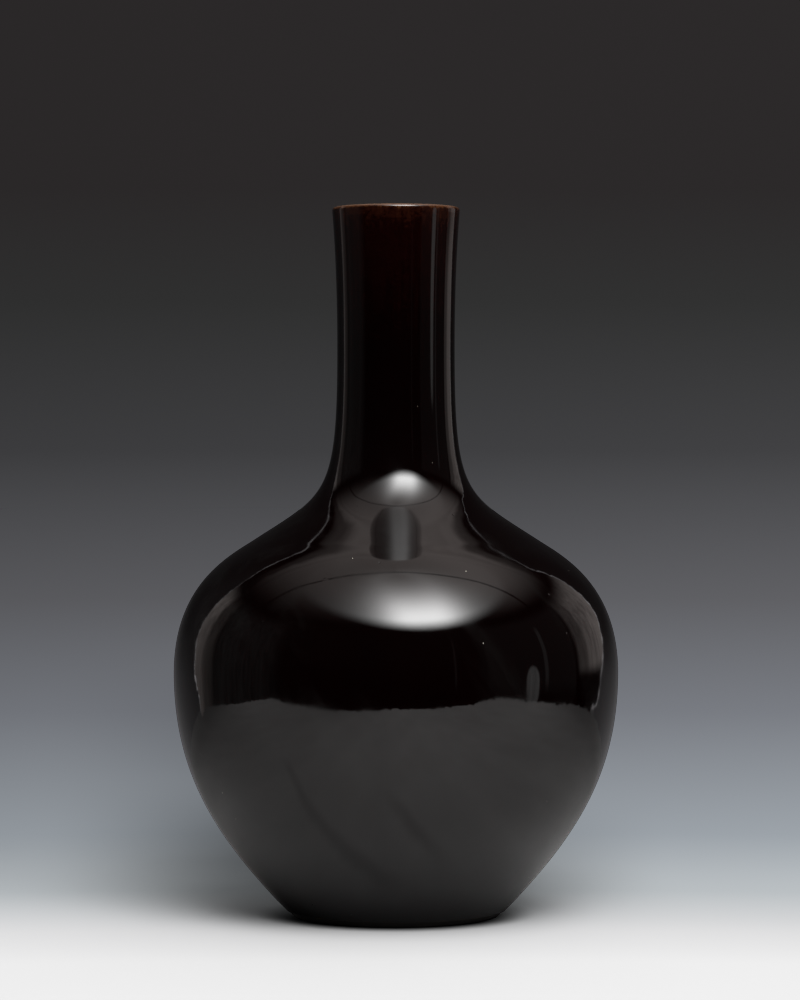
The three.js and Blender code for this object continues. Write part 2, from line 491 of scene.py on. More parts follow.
CLEAR_WHITE = (0.66, 0.67, 0.62)
CLEAR_GREEN = (0.58, 0.62, 0.57)
SPECK = (0.12, 0.08, 0.05)
BROWN_STAIN = (0.16, 0.07, 0.03)
POOL_GRAIN = 30
POOL_EDGE = (0.3, 0.7)
IRON_SPECKS = (90, 0.09, 0.04)
SPECK_CLUSTERS = (60, 0.5, 0.65)
STAIN_EDGE = (8, 2)
STAIN_GRAIN = 120
STAIN_WAVER = 9
CLEAR_CROWN_EDGE = (1.6, 0.8)
CLEAR_ROUGHNESS = (0.08, 0.08)
THROWING_RINGS = 1.4
RING_WAVER = 6
CLEAR_GRAIN = 180
CLEAR_RELIEF = 0.03 * MM

CLAY = (0.56, 0.47, 0.36)
CLAY_WARM = (0.48, 0.34, 0.22)
GRIT = (0.1, 0.07, 0.05)
DRESSING = (0.013, 0.009, 0.007)
CLAY_GRAIN = 140
CLAY_EDGE = (0.35, 0.7)
GRIT_SPOTS = (420, 0.28, 0.12)
GRIT_CLUSTERS = (0.45, 0.6)
DRESSING_START = rest_outer / MM - 3.2
DRESSING_FULL = rest_outer / MM - 0.6
DRESSING_WAVER = 5
CLAY_ROUGHNESS = (0.55, 0.25)
GRIT_HEIGHT = 2
FINE_CLAY_GRAIN = 900
CLAY_RELIEF = 0.06 * MM

SLIP = (0.62, 0.56, 0.46)
SLIP_DARK = (0.5, 0.43, 0.34)
SLIP_GRAIN = 90
SLIP_EDGE = (0.3, 0.7)
SLIP_ROUGHNESS = (0.7, 0.2)
FINE_SLIP_GRAIN = 500
SLIP_RELIEF = 0.15 * MM


def black_glaze():
    """Mirror-black glaze: iron-brown where it ran thin at the lip, with fine runs down the neck, a film of
    dust, a few pinholes, healed pits and pale specks, and brown dots along its lower edge."""
    material, tree, shader, place = new_material("mirror_black_glaze")
    z = split(tree, place)[2]
    below_lip = (HEIGHT - z) / MM
    stretch, scale = RUNS
    runs = coarse_grain(tree, stretched(tree, place, stretch), scale).centred()
    patches = coarse_grain(tree, place, PATCH_GRAIN).centred()
    blotches = grain(tree, place, BLOTCH_GRAIN, detail=3, roughness=COARSE).centred()
    smears = coarse_grain(tree, slanting(tree, place, SMEAR_SLANT, SMEAR_STRETCH), SMEAR_GRAIN)
    specks = spots(tree, stretched(tree, place, SPECK_FLATTEN), *SPECKS)
    pinholes = spots(tree, place, *PINHOLES)
    healed = cells(tree, place, HEALED_GRAIN).inside(*HEALED_RING)

    stretch, scale = BODY_MOTTLE
    mottle = grain(tree, stretched(tree, place, stretch), scale, detail=4)
    colour = blend(tree, mottle, BLACK, BLACK_WARM)
    for tone, edge, shifts in LIP_TONES:
        shift = sum(field * amount for field, amount in zip((runs, patches, blotches), shifts))
        colour = blend(tree, (below_lip + shift).rise(*edge), colour, tone)
    dusty = smears.rise(*DUST_SMEARS) * (z / MM).rise(*DUST_HEIGHT) * DUST_SHARE
    colour = blend(tree, dusty, colour, DUST)
    colour = blend(tree, specks, colour, PALE_SPECK)
    waver = grain(tree, place, EDGE_LINE_GRAIN).centred() * EDGE_LINE_WAVER
    scale, *edge = EDGE_DOTS
    dots = (z / MM + waver).rise(*EDGE_LINE) * grain(tree, place, scale).rise(*edge)
    colour = blend(tree, dots, colour, FOOT_LINE)
    tree.links.new(colour, shader.inputs["Base Color"])

    rough_spots = (pinholes + specks) * SPOT_ROUGHNESS
    feed(tree, graded(smears, *GLAZE_ROUGHNESS) + rough_spots, shader.inputs["Roughness"])
    shader.inputs["IOR"].default_value = GLAZE_IOR
    skin = grain(tree, place, SKIN_GRAIN)
    relief = skin - pinholes * PINHOLE_DEPTH + specks * SPECK_HEIGHT + healed * HEALED_HEIGHT
    add_bump(tree, shader, relief, SKIN_RELIEF)
    return material


def clear_glaze():
    """Clear glaze over white porcelain, faintly green where it lies thick, with specks and throwing rings."""
    material, tree, shader, place = new_material("clear_glaze")
    z = split(tree, place)[2]
    below_lip = (HEIGHT - z) / MM
    pool = grain(tree, place, POOL_GRAIN, detail=4)
    colour = blend(tree, pool.rise(*POOL_EDGE), CLEAR_WHITE, CLEAR_GREEN)
    scale, *edge = SPECK_CLUSTERS
    specks = spots(tree, place, *IRON_SPECKS) * grain(tree, place, scale).rise(*edge)
    colour = blend(tree, specks, colour, SPECK)
    waver = grain(tree, place, STAIN_GRAIN, detail=3).centred() * STAIN_WAVER
    colour = blend(tree, (below_lip + waver).rise(*STAIN_EDGE), colour, BROWN_STAIN)
    colour = blend(tree, (below_lip + pool.centred()).rise(*CLEAR_CROWN_EDGE), colour, CROWN)
    tree.links.new(colour, shader.inputs["Base Color"])
    smoothest, spread = CLEAR_ROUGHNESS
    feed(tree, pool * spread + smoothest, shader.inputs["Roughness"])
    shader.inputs["IOR"].default_value = GLAZE_IOR
    rings = (z / MM * THROWING_RINGS + pool * RING_WAVER).math("SINE")
    add_bump(tree, shader, rings * 0.5 + grain(tree, place, CLEAR_GRAIN), CLEAR_RELIEF)
    return material


def porcelain():
    """Bare porcelain: buff where the foot stands, with a dark dressing on the outside of the foot ring."""
    material, tree, shader, place = new_material("porcelain")
    x, y, _ = split(tree, place)
    mottle = coarse_grain(tree, place, CLAY_GRAIN)
    colour = blend(tree, mottle.rise(*CLAY_EDGE), CLAY, CLAY_WARM)
    grit = spots(tree, place, *GRIT_SPOTS) * mottle.rise(*GRIT_CLUSTERS)
    colour = blend(tree, grit, colour, GRIT)
    outwards = distance(x, y) / MM + mottle.centred() * DRESSING_WAVER
    colour = blend(tree, outwards.rise(DRESSING_START, DRESSING_FULL), colour, DRESSING)
    tree.links.new(colour, shader.inputs["Base Color"])
    smoothest, spread = CLAY_ROUGHNESS
    feed(tree, mottle * spread + smoothest, shader.inputs["Roughness"])
    fine = grain(tree, place, FINE_CLAY_GRAIN) * 0.5
    add_bump(tree, shader, mottle + grit * GRIT_HEIGHT + fine, CLAY_RELIEF)
    return material


def slip():
    """Fired slip in the seams, a shade duller than the porcelain."""
    material, tree, shader, place = new_material("slip")
    mottle = coarse_grain(tree, place, SLIP_GRAIN)
    tree.links.new(blend(tree, mottle.rise(*SLIP_EDGE), SLIP, SLIP_DARK), shader.inputs["Base Color"])
    smoothest, spread = SLIP_ROUGHNESS
    feed(tree, mottle * spread + smoothest, shader.inputs["Roughness"])
    add_bump(tree, shader, mottle + grain(tree, place, FINE_SLIP_GRAIN, detail=3), SLIP_RELIEF)
    return material


# Pieces

EDGE_WAVE = 0.7 * MM
EDGE_REACH = 6 * MM
EDGE_GRAIN = 70
SWELL = 0.05 * MM
SWELL_GRAIN = 26


def positive_noise(place):
    """Smooth noise from 0 to 1 at a place."""
    return noise.noise(place) * 0.5 + 0.5


def glaze_shape(ring):
    """The skin of the dark glaze: very slightly uneven, and with a wavering edge above the foot."""
    moved = []
    for point in ring:
        place = Vector(point)
        flat = Vector((place.x, place.y, 0))
        radius = math.hypot(place.x, place.y)
        inwards = flat * (-SWELL * positive_noise(place * SWELL_GRAIN) / radius)
        near_edge = max(0, 1 - (place.z - FOOT_BARE_HEIGHT) / EDGE_REACH)
        wave = positive_noise(flat * EDGE_GRAIN) * EDGE_WAVE * near_edge
        moved.append(place + inwards + Vector((0, 0, wave)))
    return moved


def section(line, top, bottom):
    """The stretch of the clay between two heights, as a profile that closes on itself."""
    return closed(thinned(between(wall_outside, top, bottom)), thinned(between(line, top, bottom)))


def seam_profile(height):
    """A layer of slip, with the ridge that it leaves on the inside."""
    top = height + SEAM_THICKNESS / 2
    bottom = height - SEAM_THICKNESS / 2
    ridge_ends = (height + RIDGE_REACH, height - RIDGE_REACH)
    back = between(inset(clay_inside, BOND_GAP), *ridge_ends)
    crest = between(inset(ridged(clay_inside, 0), BOND_GAP / 2), *ridge_ends)
    outside = np.vstack([point_at(wall_outside, top), point_at(wall_outside, bottom)])
    inside = np.vstack([
        point_at(clay_inside, top),
        back[back[:, 1] > top][::-1],
        crest,
        back[back[:, 1] < bottom][::-1],
        point_at(clay_inside, bottom),
    ])
    return closed(outside, inside)


def make_profiles():
    """Every piece's name, the solid that it stands for, its profile, whether that closes, and its slot."""
    under_belly_seam = BELLY_SEAM_HEIGHT - SEAM_THICKNESS / 2
    over_belly_seam = BELLY_SEAM_HEIGHT + SEAM_THICKNESS / 2
    under_neck_seam = NECK_SEAM_HEIGHT - SEAM_THICKNESS / 2
    over_neck_seam = NECK_SEAM_HEIGHT + SEAM_THICKNESS / 2
    lower = np.vstack([
        recess_line,
        [rest_inner, 0],
        thinned(between(wall_outside, under_belly_seam, 0))[::-1],
        point_at(clay_inside, under_belly_seam),
        clay_inside[clay_inside[:, 1] < under_belly_seam],
    ])
    upper = section(clay_inside, under_neck_seam, over_belly_seam)
    neck = closed(thinned(down_to(with_lip(wall_outside, CLAY_RISE), over_neck_seam)),
                  thinned(down_to(with_lip(clay_inside, CLAY_RISE), over_neck_seam))[1:])
    outer = closed(down_to(with_lip(glaze_outside, GLAZE_RISE), FOOT_BARE_HEIGHT),
                   thinned(down_to(with_lip(glaze_inside, SEAT_RISE), FOOT_BARE_HEIGHT)))
    inner = np.vstack([with_lip(ridged(clay_inside, BOND_GAP), SEAT_RISE)[::-1],
                       with_lip(ridged(clay_inside, BOND_GAP + CLEAR_GLAZE), GLAZE_RISE)])
    covered = np.vstack([recess_line[:-1], point_at(recess_line[-2:], BASE_GLAZE_HEIGHT)])
    base = np.vstack([inset(covered, BOND_GAP + CLEAR_GLAZE), inset(covered, BOND_GAP)[::-1]])
    return [
        ("body_lower_section", "lower_body", lower, False, "porcelain"),
        ("body_upper_section", "upper_body", upper, True, "porcelain"),
        ("neck_section", "neck", neck, True, "porcelain"),
        ("belly_seam_slip", "belly_seam", seam_profile(BELLY_SEAM_HEIGHT), True, "slip"),
        ("neck_seam_slip", "neck_seam", seam_profile(NECK_SEAM_HEIGHT), True, "slip"),
        ("outer_glaze_coat", "outer_glaze", outer, True, "mirror_black_glaze"),
        ("inner_glaze_coat", "inner_glaze", inner, False, "clear_glaze"),
        ("base_glaze_coat", "base_glaze", base, False, "clear_glaze"),
    ]


materials = {
    "porcelain": porcelain(),
    "slip": slip(),
    "mirror_black_glaze": black_glaze(),
    "clear_glaze": clear_glaze(),
}
for name, node, profile, closes, slot in make_profiles():
    piece = turned(name, profile, closes, glaze_shape if node == "outer_glaze" else None)
    piece.data.materials.append(materials[slot])
    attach(piece, "root")
    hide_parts(node)


# The studio's sheets: what the vase stands on, and what its glaze mirrors close by, in metres. A tone is a
# base value and steps of a start, an end and an amount.

MATT = 0.9
UNLIT = (0, 0, 0)
FULL = (1, 1, 1)

FLOOR_HALF = 12
FLOOR_PALE = (0.8, 0.8, 0.8)
FLOOR_DULL = (0.76, 0.76, 0.76)
FLOOR_GRAIN = 60

SHADOW_RISE = 0.2 * MM
SHADOW_LEFT = -0.7
SHADOW_RIGHT = 0.6
SHADOW_FRONT = -0.16
SHADOW_BACK = 3.5
# The two wings of the far shadow. Their sides are lines that the camera sees as upright: metres aside for
# each metre of distance from the camera.
LEFT_WING = dict(outer=(-0.105, -0.03), inner=(0.045, -0.045), near=(0, 0.283),
                 depth=(0, (2.8, 0.9, 0.3), (0.886, 0.265, 0.45)))
RIGHT_WING = dict(outer=(0.078, 0.027), inner=(-0.045, 0.045), near=(0, 0.197),
                  depth=(0, (0.778, 0.164, 0.38)))
# Painted contact shade where the foot touches the floor, deepest in front, and a faint painted shade round
# the foot
TOUCH_EDGE = (0.085, 0.0625)
TOUCH_DEPTH = (0.41, (0.01, -0.045, 0.57))
AROUND_FOOT = (1, (0.13, 0.08, -0.09))

TABLE_DEPTH = 0.4 * MM
TABLE_LEFT_SIDE = [(-1, -0.52), (-0.93, 0), (-0.88, 0.18), (-0.8, 0.3), (-0.68, 0.27), (-0.89, 0.56),
                   (-1, 1.5)]
TABLE_RIGHT_SIDE = [(1, 1.5), (0.9, 0.56), (0.7, 0.29), (0.83, 0.31), (0.9, 0.2), (0.93, 0), (0.92, -0.72),
                    (0, -0.76)]
TABLE_WANDER = 0.04
TABLE_RAG = 0.045
TABLE_BY_DEPTH = (0.03, (0.28, -0.36, 0.42), (1.4, 0.1, 0.09))
# Painted light in the table's tone: dimmer to the left, away from the soft light
TABLE_SIDE_PAINTED_LIGHT = (0.68, (-0.45, 0.12, 0.32), (0.08, 0.35, -0.1))
# Painted shade in the table's tone round the vase, deepest close to its foot
TABLE_SHADE_ROUND_VASE = (0.48, (0.04, 0.13, 0.64))
TABLE_SHADE_AT_FOOT = (0.55, (0.06, 0.09, 0.45))
CRUMPLE_STRETCH = (1.7, 0.8, 1)
CRUMPLE_GRAIN = 7
CRUMPLE_SHARE = 0.45
# Painted shade along two folds in the table: the ends of each, and the edge, waver, fade and depth of its
# shade
TABLE_FOLD_SHADES = [((-0.22, -0.187), (0, -0.087)), ((-0.005, -0.19), (0.035, -0.11))]
FOLD_EDGE = (0.013, 0.001)
FOLD_WAVER = 0.03
FOLD_FADE = 0.03
FOLD_SHADE_DEPTH = 0.2

PAPER_DISTANCE = 0.37
PAPER_RIGHT_SIDE = [(0, 0.72), (0.28, 0.7), (0.43, 0.69), (0.43, 0.28), (0.49, 0.2), (0.58, 0.12),
                    (0.66, 0.04), (0.8, 0), (0.8, -0.02)]
PAPER_LEFT_SIDE = [(-0.8, -0.02), (-0.8, 0.03), (-0.7, 0.11), (-0.67, 0.18), (-0.635, 0.24), (-0.625, 0.55),
                   (-0.59, 0.64), (-0.52, 0.7), (-0.28, 0.74)]
PAPER_WANDER = 0.02
PAPER_RAG = 0.014
PAPER_TINT = (1, 0.97, 1)
PAPER_BY_SIDE = (0.014, (0.3, 0.6, 0.018))
PAPER_LOW_EDGE = (0.24, -0.06)
PAPER_LOW = (0.06, (0.65, 0.1, 0.12))
PAPER_LOW_RIGHT = (0, (0, 0.4, 0.05))
PAPER_RIM = 0.011
RIM_TONE = (0.5, (0.5, 0.1, 0.4))

EDGE_STEP = 0.01
WANDER_GRAIN = 6
RAG_GRAIN = 45
RAG_LAYER = 3

FILL_SIZE = (3, 0.8)
FILL_PLACE = (0.5, 1.5, 0.45)
FILL_POWER = 16


def sheet(name, points, faces):
    """A thin sheet of the studio."""
    mesh = bpy.data.meshes.new(name)
    mesh.from_pydata(points, [], faces)
    made = bpy.data.objects.new(name, mesh)
    bpy.context.scene.collection.objects.link(made)
    return made


def ragged(corners, wander, rag, outset=0):
    """A closed outline that runs clockwise, with its sides broken into short steps that wander in and out."""
    points = []
    for (x0, y0), (x1, y1) in zip(corners, corners[1:] + corners[:1]):
        length = math.hypot(x1 - x0, y1 - y0)
        steps = max(1, int(length / EDGE_STEP))
        for i in range(steps):
            x = x0 + (x1 - x0) * i / steps
            y = y0 + (y1 - y0) * i / steps
            slow = noise.noise(Vector((x, y, outset)) * WANDER_GRAIN)
            quick = noise.noise(Vector((x, y, RAG_LAYER + outset)) * RAG_GRAIN)
            out = slow * wander + quick * rag + outset
            points.append((x - (y1 - y0) / length * out, y + (x1 - x0) / length * out))
    return points


def make_floor():
    """The pale floor that the camera sees. It takes the vase's shadow, over the graded backdrop."""
    corners = [(-1, -1), (1, -1), (1, 1), (-1, 1)]
    floor = sheet("floor", [(x * FLOOR_HALF, y * FLOOR_HALF, 0) for x, y in corners], [[0, 1, 2, 3]])
    floor.is_shadow_catcher = True
    floor.visible_glossy = False
    floor.visible_diffuse = False
    floor.visible_shadow = False
    material, tree, shader, place = new_material("floor_paper")
    fibre = grain(tree, place, FLOOR_GRAIN, detail=4)
    tree.links.new(blend(tree, fibre, FLOOR_PALE, FLOOR_DULL), shader.inputs["Base Color"])
    shader.inputs["Roughness"].default_value = MATT
    floor.data.materials.append(material)


def wing_shade(aside, y, wing):
    """How much light one wing of the far shadow takes away."""
    sides = aside.rise(*wing["outer"]) * aside.rise(*wing["inner"])
    return sides * graded(y, *wing["depth"]) * y.rise(*wing["near"])


def make_far_shadow():
    """The soft shadow that lies away from the light, and the dark line where the foot touches the floor, on a
    clear sheet. The light of a shadow catcher passes the sheet twice, so it has the root of the shade."""
    corners = [(SHADOW_LEFT, SHADOW_FRONT), (SHADOW_RIGHT, SHADOW_FRONT),
               (SHADOW_RIGHT, SHADOW_BACK), (SHADOW_LEFT, SHADOW_BACK)]
    shadow = sheet("far_shadow", [(x, y, SHADOW_RISE) for x, y in corners], [[0, 1, 2, 3]])
    shadow.visible_glossy = False
    shadow.visible_diffuse = False
    shadow.visible_shadow = False
    material, tree, _, place = new_material("far_shadow")
    x, y, _ = split(tree, place)
    aside = (x - CAMERA_ASIDE) / (y + CAMERA_DISTANCE)
    far = 1 - wing_shade(aside, y, LEFT_WING) - wing_shade(aside, y, RIGHT_WING)
    from_axis = distance(x, y)
    touch = 1 - from_axis.rise(*TOUCH_EDGE) * graded(y, *TOUCH_DEPTH)
    passed = (far * touch * graded(from_axis, *AROUND_FOOT)).math("SQRT")
    clear = tree.nodes.new("ShaderNodeBsdfTransparent")
    tree.links.new(blend(tree, passed, UNLIT, FULL), clear.inputs["Color"])
    tree.links.new(clear.outputs[0], tree.nodes["Material Output"].inputs["Surface"])
    shadow.data.materials.append(material)


def make_table():
    """The white sheet round the vase as the glaze mirrors it, which fades to the backdrop behind the vase."""
    edge = ragged(TABLE_LEFT_SIDE + TABLE_RIGHT_SIDE, TABLE_WANDER, TABLE_RAG)
    table = sheet("table_sheet", [(x, y, -TABLE_DEPTH) for x, y in edge], [list(range(len(edge)))])
    table.visible_camera = False
    table.visible_shadow = False
    material, tree, shader, place = new_material("table_paper")
    x, y, _ = split(tree, place)
    from_axis = distance(x, y)
    crumple = coarse_grain(tree, stretched(tree, place, CRUMPLE_STRETCH), CRUMPLE_GRAIN).centred()
    # The table's tone is darker behind the vase, with painted light that is dimmer to the left, away from the
    # soft light
    grey = graded(y, *TABLE_BY_DEPTH) * graded(x, *TABLE_SIDE_PAINTED_LIGHT) * (crumple * CRUMPLE_SHARE + 1)
    # Painted shade round the vase and at its foot, where the vase keeps light off the table
    grey = grey * graded(from_axis, *TABLE_SHADE_ROUND_VASE) * graded(from_axis, *TABLE_SHADE_AT_FOOT)
    # A line of painted shade along each fold
    for (x0, y0), (x1, y1) in TABLE_FOLD_SHADES:
        length = math.hypot(x1 - x0, y1 - y0)
        along = ((x - x0) * (x1 - x0) + (y - y0) * (y1 - y0)) / length
        across = ((y - y0) * (x1 - x0) - (x - x0) * (y1 - y0)) / length + crumple * FOLD_WAVER
        fold = across.math("ABSOLUTE").rise(*FOLD_EDGE) * along.inside(0, length, FOLD_FADE)
        grey = grey * (1 - fold * FOLD_SHADE_DEPTH)
    tree.links.new(blend(tree, grey, UNLIT, FULL), shader.inputs["Base Color"])
    shader.inputs["Roughness"].default_value = MATT
    shader.inputs["Specular IOR Level"].default_value = 0
    table.data.materials.append(material)


def make_paper():
    """The dark end of the graded paper, which stands behind the vase and which only the glaze mirrors, and
    its pale torn rim a little behind it. Both glow with painted light; no lamp lights them."""
    corners = PAPER_RIGHT_SIDE + PAPER_LEFT_SIDE
    for name, outset, behind in (("graded_paper", 0, 0), ("paper_rim", PAPER_RIM, TABLE_DEPTH)):
        edge = ragged(corners, PAPER_WANDER, PAPER_RAG, outset)
        paper = sheet(name, [(x, PAPER_DISTANCE + behind, z) for x, z in edge], [list(range(len(edge)))])
        paper.visible_camera = False
        paper.visible_diffuse = False
        paper.visible_shadow = False
        material, tree, shader, place = new_material(name)
        x, _, z = split(tree, place)
        # The rim's painted light is paler low down; the paper's is brighter low down, most near the middle
        # and to the right
        if outset:
            light = graded(z, *RIM_TONE)
        else:
            side = x.math("ABSOLUTE")
            low = graded(side, *PAPER_LOW) + graded(x, *PAPER_LOW_RIGHT)
            light = z.rise(*PAPER_LOW_EDGE) * low + graded(side, *PAPER_BY_SIDE)
        tree.links.new(blend(tree, light, UNLIT, PAPER_TINT), shader.inputs["Emission Color"])
        shader.inputs["Emission Strength"].default_value = 1
        shader.inputs["Base Color"].default_value = (*UNLIT, 1)
        shader.inputs["Specular IOR Level"].default_value = 0
        paper.data.materials.append(material)


def make_fill():
    """Weak light from the pale backdrop, low behind the vase. The glaze doesn't mirror it."""
    light = bpy.data.lights.new("backdrop_fill", "AREA")
    light.shape = "RECTANGLE"
    light.size, light.size_y = FILL_SIZE
    light.energy = FILL_POWER
    lamp = bpy.data.objects.new("backdrop_fill", light)
    lamp.location = FILL_PLACE
    lamp.rotation_euler = (-Vector(FILL_PLACE)).to_track_quat("-Z", "Y").to_euler()
    lamp.visible_glossy = False
    lamp.visible_camera = False
    bpy.context.scene.collection.objects.link(lamp)


# The studio's light in every direction, in degrees: azimuth 0 is towards the camera and grows to the right,
# and elevation 0 is level. A band has a low edge, a high edge and a softness, and may have a tone.

DEGREE = math.pi / 180
WARM_TINT = (1.1, 0.97, 0.93)
STREAK_STRETCH = (1, 1, 0.06)
STREAK_GRAIN = 34
STREAK_ROUGHNESS = 0.7

SOFT_AZIMUTH = 18
SOFT_LOW_EDGE = 38.6
SOFT_LOW_CURVE = 0.006
SOFT_EDGE_BELOW = 6
SOFT_EDGE_ABOVE = 5.8
SOFT_HALF_WIDTH = 22.6
SOFT_NARROWING = 0.118
SOFT_SIDE_POWER = 4
SOFT_CORE_TOP = 45
SOFT_FADE = 20.3
SOFT_FADE_POWER = 1.7
SOFT_BRIGHTNESS = 18.5

# Where the paper behind the vase ends: its sides, which lean in below level, and its top
SIDES_BLEND = (-0.05, 0.05)
PAPER_SIDE = 137
PAPER_SIDE_RIGHT = 9.5
PAPER_LEAN_FROM = -1
PAPER_LEAN = 1.4
PAPER_LEAN_RIGHT = 0.9
PAPER_WAVER_GRAIN = 7
PAPER_SIDE_WAVER = 5
PAPER_SIDE_SHARE = 0.8
PAPER_TOP = 37
PAPER_TOP_SLOPE = 0.35
PAPER_TOP_WAVER = 9
PAPER_END = (0.1, 0.7)
PAPER_GLOW = (0.036, (4, -16, 0.16))
PAPER_GLOW_FOOT = (-30, -8)

ROOF_FRONT = (36, 68)
ROOF_FRONT_TONE = 0.6
ROOF_FRONT_TO_RIGHT = 0.5
ROOF_TOP = (62, 86)
ROOF_TOP_TONE = 0.05
ROOF_TOP_TO_FRONT = 0.3
FOLD_DRIFT_GRAIN = 4
FOLD_DRIFT = 9
FOLD_HEIGHT = (30, 40)
FOLD_TONES = (0, (8, 11, 0.35), (13, 16, 0.65))
RIPPLE_PITCH = 1.15
RIPPLE_DEPTH = 0.16
RIPPLE_REACH = (30, 12)
CREASE_LEAN = 0.068
CREASE_GRAIN = 3
CREASE_WAVER = 0.05
CREASE_EDGE = (0.018, 0.007)
CREASE_DEPTH = 0.85

LOW_SIDES = (36, 26)
CURTAIN_STREAKS = 2
LEFT_CURTAIN = (-150, -119, 2.5)
LEFT_CURTAIN_TONE = (0.17, (10, 26, 0.14))
LEFT_CURTAIN_HEM = (-150, -110, 3, 0.1)
RIGHT_CURTAIN = [(109, 150, 2, 0.2), (118, 150, 2, 0.17)]
RIGHT_CURTAIN_FOOT = (-3, 1)
LEFT_PANEL = (-108, -66, 7)
LEFT_PANEL_FOOT = (-10.5, -8.5)
LEFT_PANEL_TONE = 0.045
LEFT_PANEL_STREAKS = 0.12
RIGHT_PANEL = (48, 106, 0.7, 0.028)
RIGHT_PANEL_HEIGHT = (-6, 32, 3)
STANDS = [(82.4, 84.8, 0.3, 0.1), (30.2, 30.9, 0.2, 0.07)]
STAND_HEIGHT = (-4, 24, 3)
CLOTH_AZIMUTH = 74.5
CLOTH_HALF_WIDTH = 4.2
CLOTH_ELEVATION = -3.5
CLOTH_HALF_HEIGHT = 8
CLOTH_EDGE = (1.15, 0.7)
CLOTH_TONE = 0.45
CLOTH_STREAKS = 0.9
ROOM = (6, 40, 14, 0.008)

# The backdrop that the camera sees, as colours over a span of elevation, and its lift of painted light to the
# right
BACKDROP_LOW = -10
BACKDROP_SPAN = 14
BACKDROP_STOPS = [
    (0.0, (0.9, 0.9, 0.9)),
    (0.115, (0.86, 0.86, 0.86)),
    (0.15, (0.74, 0.74, 0.745)),
    (0.195, (0.47, 0.5, 0.518)),
    (0.26, (0.31, 0.34, 0.37)),
    (0.4, (0.177, 0.187, 0.209)),
    (0.53, (0.107, 0.108, 0.117)),
    (0.7, (0.049, 0.049, 0.052)),
    (0.87, (0.0295, 0.0295, 0.0295)),
    (1.0, (0.0242, 0.0218, 0.0222)),
]
BACKDROP_REACH = 0.13
LIFT_START = (-7.8, -6.9)
LIFT_TO_RIGHT = (0.35, (4, 0, 0.45))


def bands(field, *parts):
    """The sum of bands, each a low edge, a high edge, a softness and a tone."""
    return sum(field.inside(low, high, soft) * tone for low, high, soft, tone in parts)


class Sky:
    """A direction in the studio: its parts, its azimuth and elevation in degrees, and streaks as in cloth."""

    def __init__(self, tree, direction):
        self.tree = tree
        self.direction = direction
        self.x, self.y, self.z = split(tree, direction)
        self.azimuth = self.x.math("ARCTAN2", self.y * -1) / DEGREE
        self.elevation = self.z.math("ARCSINE") / DEGREE
        streaked = stretched(tree, direction, STREAK_STRETCH)
        streaks = grain(tree, streaked, STREAK_GRAIN, detail=4, roughness=STREAK_ROUGHNESS)
        self.streaks = streaks.centred()

    def waver(self, scale, detail=2):
        """Slow noise over the directions, from -0.5 to 0.5."""
        return grain(self.tree, self.direction, scale, detail).centred()


def soft_light(sky):
    """The large soft light in front and above: bright at its curved lower edge, and fading upwards."""
    level = (1 - sky.z * sky.z).math("MAXIMUM", 0).math("SQRT")
    aside = (sky.azimuth - SOFT_AZIMUTH) * level
    lower_edge = aside * aside * SOFT_LOW_CURVE + SOFT_LOW_EDGE
    half_width = SOFT_HALF_WIDTH - sky.elevation * SOFT_NARROWING
    wide = (aside / half_width).math("ABSOLUTE") ** SOFT_SIDE_POWER + 1
    above = (sky.elevation - SOFT_CORE_TOP).math("MAXIMUM", 0) / SOFT_FADE
    fall = ((above ** SOFT_FADE_POWER) * -1).math("EXPONENT")
    lit = sky.elevation.rise(lower_edge - SOFT_EDGE_BELOW, lower_edge + SOFT_EDGE_ABOVE)
    return fall / wide * lit * SOFT_BRIGHTNESS


def past_paper(sky):
    """How many degrees a direction lies past the end of the paper behind the vase."""
    on_right = sky.x.rise(*SIDES_BLEND)
    far = sky.azimuth.math("ABSOLUTE")
    below = (PAPER_LEAN_FROM - sky.elevation).math("MAXIMUM", 0)
    waver = sky.waver(PAPER_WAVER_GRAIN)
    lean = below * (on_right * PAPER_LEAN_RIGHT + PAPER_LEAN)
    side_edge = on_right * PAPER_SIDE_RIGHT + PAPER_SIDE - lean + waver * PAPER_SIDE_WAVER
    top_edge = (far - side_edge) * PAPER_TOP_SLOPE + PAPER_TOP + waver * PAPER_TOP_WAVER
    past_side = (side_edge - far).math("MAXIMUM", 0) * PAPER_SIDE_SHARE
    past_top = (sky.elevation - top_edge).math("MAXIMUM", 0)
    return distance(past_side, past_top)


def cloth_roof(sky, outwards):
    """The pale cloth over the vase, with dark gaps between its folds, ripples and one crease."""
    folds = outwards + sky.waver(FOLD_DRIFT_GRAIN) * FOLD_DRIFT
    upper = sky.elevation.rise(*FOLD_HEIGHT)
    gap = graded(folds, *FOLD_TONES) * upper + (1 - upper)
    ripple = (folds * RIPPLE_PITCH).math("SINE") * RIPPLE_DEPTH * folds.rise(*RIPPLE_REACH) + 1
    crease = sky.y - sky.z * CREASE_LEAN - sky.waver(CREASE_GRAIN, detail=1) * CREASE_WAVER
    creased = 1 - crease.math("ABSOLUTE").rise(*CREASE_EDGE) * CREASE_DEPTH
    front = sky.elevation.rise(*ROOF_FRONT) * (sky.x * ROOF_FRONT_TO_RIGHT + ROOF_FRONT_TONE)
    top = sky.elevation.rise(*ROOF_TOP) * (ROOF_TOP_TONE - sky.y * ROOF_TOP_TO_FRONT)
    return (front + top) * gap * ripple * creased


def curtains(sky):
    """The pale curtains at both sides."""
    left = sky.azimuth.inside(*LEFT_CURTAIN) * graded(sky.elevation, *LEFT_CURTAIN_TONE)
    left = left + bands(sky.azimuth, LEFT_CURTAIN_HEM)
    right = bands(sky.azimuth, *RIGHT_CURTAIN) * sky.elevation.rise(*RIGHT_CURTAIN_FOOT)
    return (left + right) * (sky.streaks * CURTAIN_STREAKS + 1) * sky.elevation.rise(*LOW_SIDES)


